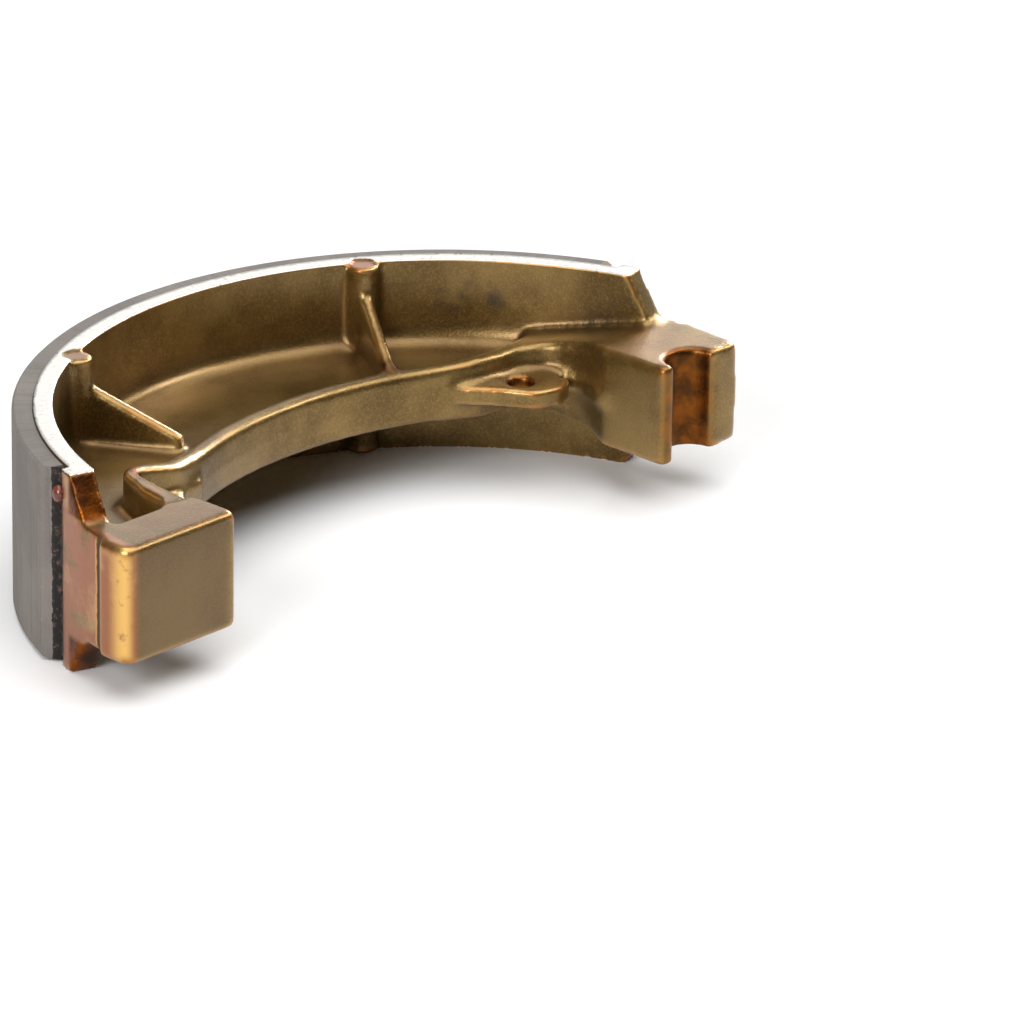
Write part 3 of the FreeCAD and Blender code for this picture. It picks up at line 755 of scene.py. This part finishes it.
grit = use_group(tree, grain_group, place, Grain_per_metre=3400.0)
pits = use_group(tree, patch_group, place, Patches_per_metre=1300.0, Amount=0.3, Softness=0.05)
tone = noise_node(tree, place, 70.0, 3.0, 0.6)
colour = blend_node(tree, step_node(tree, tone, 0.3, 0.7), dark_compound, light_compound)
colour = laid_over(tree, colour, step_node(tree, lines, 0.45, 0.75), 0.35, line_dark)
colour = laid_over(tree, colour, grit.outputs["Speck"], 0.3, grit_light)
colour = laid_over(tree, colour, pits.outputs["Mask"], 0.7, pit_dark)
print("compound nodes", len(nodes))

# %% [markdown]
# Both ends of the lining are bevelled. The bevel at the pivot end shows tan compound that was never
# ground, and the one at the cam end is smeared with black adhesive up to a ragged border. Both are limits
# on the angle. The grinding lines, the grit and the pits then also go into the bump.

# %% Lining: ends and relief
pivot_bevel_angle = 22.92
cam_smear_angle = 158.15
smear_margin = 0.004
tan_compound = (0.3, 0.22, 0.13)
smear_black, smear_brown = (0.012, 0.01, 0.009), (0.11, 0.06, 0.045)
pivot_strip = math_node(tree, "LESS_THAN", turn, math.radians(pivot_bevel_angle))
colour = laid_over(tree, colour, pivot_strip, 0.8, tan_compound)
ragged_turn = plus(tree, turn, times(tree, noise_node(tree, place, 900.0, 4.0, 0.7), 0.008))
cam_smear = math_node(tree, "GREATER_THAN", ragged_turn, math.radians(cam_smear_angle) + smear_margin)
smear_tone = step_node(tree, noise_node(tree, place, 1100.0, 3.0, 0.6), 0.5, 0.68)
colour = blend_node(tree, cam_smear, colour, blend_node(tree, smear_tone, smear_black, smear_brown))
links.new(colour, shader.inputs["Base Color"])
relief = plus(tree, times(tree, lines, 0.5), times(tree, wide_lines, 0.3))
relief = plus(tree, relief, times(tree, grit.outputs["Height"], 0.4))
relief = minus(tree, relief, times(tree, pits.outputs["Mask"], 0.5))
links.new(lift_node(tree, relief, 0.5, 0.00015), shader.inputs["Normal"])
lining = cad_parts["friction_lining"]
lining.data.materials.clear()
lining.data.materials.append(ground)
print("lining nodes", len(nodes))

# %% [markdown]
# Chips, beads and other things that repeat or follow a path are made by Geometry Nodes. A tree is set up
# with named inputs for its sizes. These two helpers make an empty tree, and run a finished tree on a
# piece. A modifier's input is set by the socket's identifier, so the second looks that up by name.


# %% Helpers for Geometry Nodes
def geometry_tree(name, inputs):
    """Geometry Nodes tree with a geometry input, named number inputs and a geometry output."""
    tree = bpy.data.node_groups.new(name, "GeometryNodeTree")
    tree.interface.new_socket("Geometry", in_out="INPUT", socket_type="NodeSocketGeometry")
    for label, kind, value in inputs:
        socket = tree.interface.new_socket(label, in_out="INPUT", socket_type=kind)
        socket.default_value = value
    tree.interface.new_socket("Geometry", in_out="OUTPUT", socket_type="NodeSocketGeometry")
    return tree, tree.nodes.new("NodeGroupInput"), tree.nodes.new("NodeGroupOutput")


def made_by_tree(piece, tree, **values):
    """Run a Geometry Nodes tree on a piece with its inputs set, and keep the plain mesh."""
    modifier = piece.modifiers.new(tree.name, "NODES")
    modifier.node_group = tree
    for item in tree.interface.items_tree:
        if item.item_type == "SOCKET" and item.in_out == "INPUT" and item.name in values:
            modifier[item.identifier] = values[item.name]
    return baked(piece)


print("helpers for Geometry Nodes are ready")

# %% [markdown]
# The friction compound holds pale fibres, which show on the ground face as bright flecks. A noise could
# paint them, but the real ones stand out a little and catch the light one by one, so they are geometry.
# The tree scatters points over a face, puts a flat chip with six sides on each, and turns and sizes it at
# random. It ends in Realize Instances, because only real faces reach a file.

# %% Fibres: finish and tree
fibre, nodes, links, shader = principled("pale_fibre", (0.5, 0.47, 0.42), 0.6, 0.1)
tree = fibre.node_tree
fibre_tone = noise_node(tree, object_place(tree), 800.0, 2.0, 0.5)
dull_fibre, pale_fibre = (0.34, 0.31, 0.27), (0.66, 0.63, 0.58)
links.new(blend_node(tree, step_node(tree, fibre_tone, 0.4, 0.6), dull_fibre, pale_fibre),
          shader.inputs["Base Color"])

chip_tree, chip_in, chip_out = geometry_tree("fibre_chips", [
    ("Chips per square metre", "NodeSocketFloat", 36000.0),
    ("Chip length", "NodeSocketFloat", 0.0005),
    ("Seed", "NodeSocketInt", 7),
])
make = chip_tree.nodes.new
join = chip_tree.links.new
scatter = make("GeometryNodeDistributePointsOnFaces")
scatter.distribute_method = "RANDOM"
join(chip_in.outputs["Geometry"], scatter.inputs["Mesh"])
join(chip_in.outputs["Chips per square metre"], scatter.inputs["Density"])
join(chip_in.outputs["Seed"], scatter.inputs["Seed"])
chip = make("GeometryNodeMeshCylinder")
chip.inputs["Vertices"].default_value = 6
chip.inputs["Radius"].default_value = 0.5
chip.inputs["Depth"].default_value = 0.14
stick = make("GeometryNodeInstanceOnPoints")
join(scatter.outputs["Points"], stick.inputs["Points"])
join(chip.outputs["Mesh"], stick.inputs["Instance"])
spin = make("FunctionNodeRandomValue")
spin.data_type = "FLOAT"
spin.inputs["Max"].default_value = math.tau
spin_turn = make("ShaderNodeCombineXYZ")
join(spin.outputs[1], spin_turn.inputs["Z"])
facing = make("FunctionNodeRotateRotation")
facing.rotation_space = "LOCAL"
join(scatter.outputs["Rotation"], facing.inputs["Rotation"])
to_turn = make("FunctionNodeEulerToRotation")
join(spin_turn.outputs[0], to_turn.inputs[0])
join(to_turn.outputs[0], facing.inputs["Rotate By"])
join(facing.outputs[0], stick.inputs["Rotation"])
size = make("FunctionNodeRandomValue")
size.data_type = "FLOAT_VECTOR"
size.inputs["Min"].default_value = (0.35, 0.12, 0.3)
size.inputs["Max"].default_value = (1.0, 0.35, 0.6)
sized = make("ShaderNodeVectorMath")
sized.operation = "SCALE"
join(size.outputs[0], sized.inputs[0])
join(chip_in.outputs["Chip length"], sized.inputs["Scale"])
join(sized.outputs[0], stick.inputs["Scale"])
real = make("GeometryNodeRealizeInstances")
join(stick.outputs["Instances"], real.inputs["Geometry"])
paint = make("GeometryNodeSetMaterial")
paint.inputs["Material"].default_value = fibre
join(real.outputs["Geometry"], paint.inputs["Geometry"])
join(paint.outputs["Geometry"], chip_out.inputs["Geometry"])
print("chip tree nodes", len(chip_tree.nodes))

# %% [markdown]
# The tree needs a face to scatter on. The lining's own mesh has bevels, ends and a back, which carry no
# fibres. So a plain strip is bent over the ground face only, a hair below it, and the chips replace it.

# %% Fibres: chips on the ground face
face_rows = 4
face_columns = 60
half_angle = math.radians(67.5)
side_margin = 0.0012
sunk_r = lining_r - 0.00003
face_points = []
for row in range(face_rows):
    height = side_margin + (side_z - 2 * side_margin) * row / (face_rows - 1)
    for column in range(face_columns + 1):
        a = math.pi / 2 - half_angle + 2 * half_angle * column / face_columns
        face_points.append((sunk_r * math.cos(a), sunk_r * math.sin(a), height))
wide_row = face_columns + 1
face_quads = [(r * wide_row + c, r * wide_row + c + 1, (r + 1) * wide_row + c + 1, (r + 1) * wide_row + c)
              for r in range(face_rows - 1) for c in range(face_columns)]
face_mesh = bpy.data.meshes.new("lining_fibres")
face_mesh.from_pydata(face_points, [], [tuple(reversed(q)) for q in face_quads])
lining_fibres = link_piece("lining_fibres", face_mesh)
made_by_tree(lining_fibres, chip_tree,
             **{"Chips per square metre": 36000.0, "Chip length": 0.0005, "Seed": 7})
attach(lining_fibres, "root")
print("fibre faces", len(lining_fibres.data.polygons))

# %% [markdown]
# A thin film of black adhesive holds the lining. Only its edge is seen, dull and a little brown where it
# is scorched. It keeps its CAD shape, and its finish serves the squeezed out beads as well.

# %% Adhesive: finish and film
glue_black, glue_brown = (0.016, 0.013, 0.012), (0.075, 0.05, 0.04)
glue, nodes, links, shader = principled("black_adhesive", (0.02, 0.016, 0.014), 0.5)
tree = glue.node_tree
place = object_place(tree)
glue_grain = use_group(tree, grain_group, place, Grain_per_metre=2200.0)
glue_patch = use_group(tree, patch_group, place, Patches_per_metre=500.0, Amount=0.42, Softness=0.1)
links.new(blend_node(tree, glue_patch.outputs["Mask"], glue_black, glue_brown), shader.inputs["Base Color"])
links.new(plus(tree, 0.35, times(tree, glue_grain.outputs["Height"], 0.4)), shader.inputs["Roughness"])
links.new(lift_node(tree, glue_grain.outputs["Height"], 0.6, 0.0003), shader.inputs["Normal"])
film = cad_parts["bond_film"]
film.data.materials.clear()
film.data.materials.append(glue)
print("adhesive nodes", len(nodes))

# %% [markdown]
# Adhesive squeezes out at both ends of the lining and sets there with a torn edge. A modelled tube would
# be too even. The tree sweeps a small round section along a line and pushes its surface about with noise,
# so that the bead is uneven in the way that squeezed glue is.

# %% Adhesive: tree for a squeezed bead
bead_tree, bead_in, bead_out = geometry_tree("squeezed_bead", [
    ("Bead radius", "NodeSocketFloat", 0.00055),
    ("Raggedness", "NodeSocketFloat", 0.0011),
    ("Lumps per metre", "NodeSocketFloat", 1300.0),
])
make = bead_tree.nodes.new
join = bead_tree.links.new
line = make("GeometryNodeMeshToCurve")
join(bead_in.outputs["Geometry"], line.inputs["Mesh"])
dense = make("GeometryNodeResampleCurve")
dense.mode = "LENGTH"
dense.inputs["Length"].default_value = 0.00025
join(line.outputs["Curve"], dense.inputs["Curve"])
ring = make("GeometryNodeCurvePrimitiveCircle")
ring.inputs["Resolution"].default_value = 14
join(bead_in.outputs["Bead radius"], ring.inputs["Radius"])
swept = make("GeometryNodeCurveToMesh")
join(dense.outputs["Curve"], swept.inputs["Curve"])
join(ring.outputs["Curve"], swept.inputs["Profile Curve"])
swept.inputs["Fill Caps"].default_value = True
lump = make("ShaderNodeTexNoise")
join(bead_in.outputs["Lumps per metre"], lump.inputs["Scale"])
lump.inputs["Detail"].default_value = 3.0
centred = make("ShaderNodeVectorMath")
centred.operation = "SUBTRACT"
join(lump.outputs["Color"], centred.inputs[0])
centred.inputs[1].default_value = (0.5, 0.5, 0.5)
pushed = make("ShaderNodeVectorMath")
pushed.operation = "SCALE"
join(centred.outputs[0], pushed.inputs[0])
join(bead_in.outputs["Raggedness"], pushed.inputs["Scale"])
moved = make("GeometryNodeSetPosition")
join(swept.outputs["Mesh"], moved.inputs["Geometry"])
join(pushed.outputs[0], moved.inputs["Offset"])
whole = make("GeometryNodeRealizeInstances")
join(moved.outputs["Geometry"], whole.inputs["Geometry"])
paint = make("GeometryNodeSetMaterial")
paint.inputs["Material"].default_value = glue
join(whole.outputs["Geometry"], paint.inputs["Geometry"])
join(paint.outputs["Geometry"], bead_out.inputs["Geometry"])
print("bead tree nodes", len(bead_tree.nodes))

# %% [markdown]
# There is one bead at each end, in the corner between the wall's outer face and the end of the lining.
# Each starts as a mesh of one edge, and the tree turns that edge into the bead.


# %% Adhesive: a bead at each end
bead_rise = 0.0006
bead_turn = 0.45


def end_bead(name, degrees):
    """Bead of adhesive in the gap at one end of the lining."""
    a = math.radians(degrees)
    r = wall_outer_r + bead_rise
    foot = (r * math.cos(a), r * math.sin(a))
    mesh = bpy.data.meshes.new(name)
    mesh.from_pydata([(*foot, lining_low_z + 0.0007), (*foot, lining_high_z - 0.0005)], [(0, 1)], [])
    bead = link_piece(name, mesh)
    made_by_tree(bead, bead_tree,
                 **{"Bead radius": 0.00055, "Raggedness": 0.0011, "Lumps per metre": 1300.0})
    shade_smooth(bead.data)
    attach(bead, "root")
    return bead


beads = (end_bead("adhesive_bead_cam", 90 + lining_foot_angle + bead_turn),
         end_bead("adhesive_bead_pivot", 90 - lining_foot_angle - bead_turn))
print("bead faces", [len(bead.data.polygons) for bead in beads])

# %% [markdown]
# One drop of red varnish hangs in the gap near the cam end. It is a small round blob that sagged a little
# before it set. A sphere alone would look like a bead, so each of its points is pulled out by a wave in
# height. A clear coat over a dark red makes it look wet.

# %% Varnish drop
dark_red, clear_red = (0.07, 0.01, 0.005), (0.19, 0.035, 0.015)
drop_paint, nodes, links, shader = principled("red_varnish", (0.1, 0.02, 0.01), 0.25)
tree = drop_paint.node_tree
drop_tone = noise_node(tree, object_place(tree), 700.0, 2.0, 0.5)
links.new(blend_node(tree, step_node(tree, drop_tone, 0.35, 0.7), dark_red, clear_red),
          shader.inputs["Base Color"])
shader.inputs["Coat Weight"].default_value = 0.35
shader.inputs["Coat Roughness"].default_value = 0.08
drop_mesh = bpy.data.meshes.new("varnish_drop")
work = bmesh.new()
bmesh.ops.create_icosphere(work, subdivisions=4, radius=1.0)
drop_angle = math.radians(159.7)
drop_r = 0.0633
drop_z = 0.0268
drop_size = (0.001, 0.00105, 0.0014)
drop_out = Vector((math.cos(drop_angle), math.sin(drop_angle), 0))
drop_side = Vector((-math.sin(drop_angle), math.cos(drop_angle), 0))
drop_centre = drop_out * drop_r + Vector((0, 0, drop_z))
for vertex in work.verts:
    c = vertex.co.copy()
    sag = 1.0 + 0.12 * math.sin(3.0 * c.z + 1.0)
    vertex.co = drop_centre + drop_out * (c.x * drop_size[0]) + drop_side * (c.y * drop_size[1] * sag)
    vertex.co.z += c.z * drop_size[2]
work.to_mesh(drop_mesh)
work.free()
drop_mesh.materials.append(drop_paint)
shade_smooth(drop_mesh)
varnish_drop = link_piece("varnish_drop", drop_mesh)
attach(varnish_drop, "root")
print("drop faces", len(drop_mesh.polygons))
